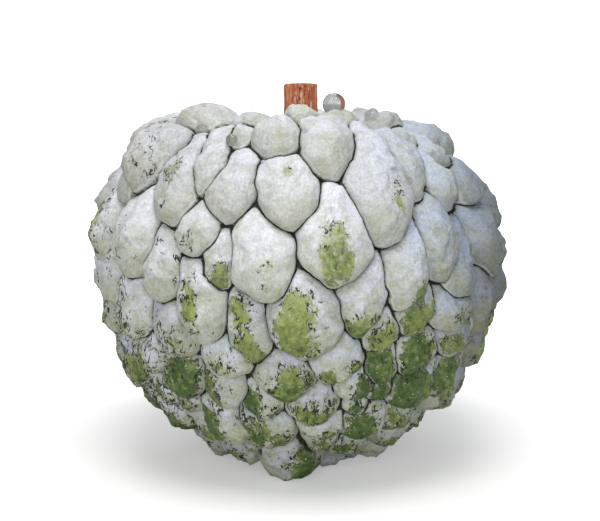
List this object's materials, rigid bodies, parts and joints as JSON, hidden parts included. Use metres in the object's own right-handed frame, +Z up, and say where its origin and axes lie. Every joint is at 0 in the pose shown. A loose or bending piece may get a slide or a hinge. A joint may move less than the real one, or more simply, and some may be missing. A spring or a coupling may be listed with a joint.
{
  "type": "custard apple",
  "caption": "Whole ripe custard apple: a broad round fruit of swollen scale-like carpels with a grey-white bloom over green skin, a bare dish on top and a short cut stalk.",
  "frame": {"origin": "on the rest plane, under the middle of the part's bounding box", "axes": "+Z up along the stalk, -Y towards the front, the side the viewer faces; +X to the viewer's right"},
  "size_m": [0.0931, 0.0953, 0.0856],
  "materials": {
    "skin": "green skin under a matt grey-white waxy bloom",
    "bark": "dry reddish brown bark"
  },
  "bodies": {
    "root": {"fruit": "skin", "stalk": "bark"}
  },
  "joints": []
}
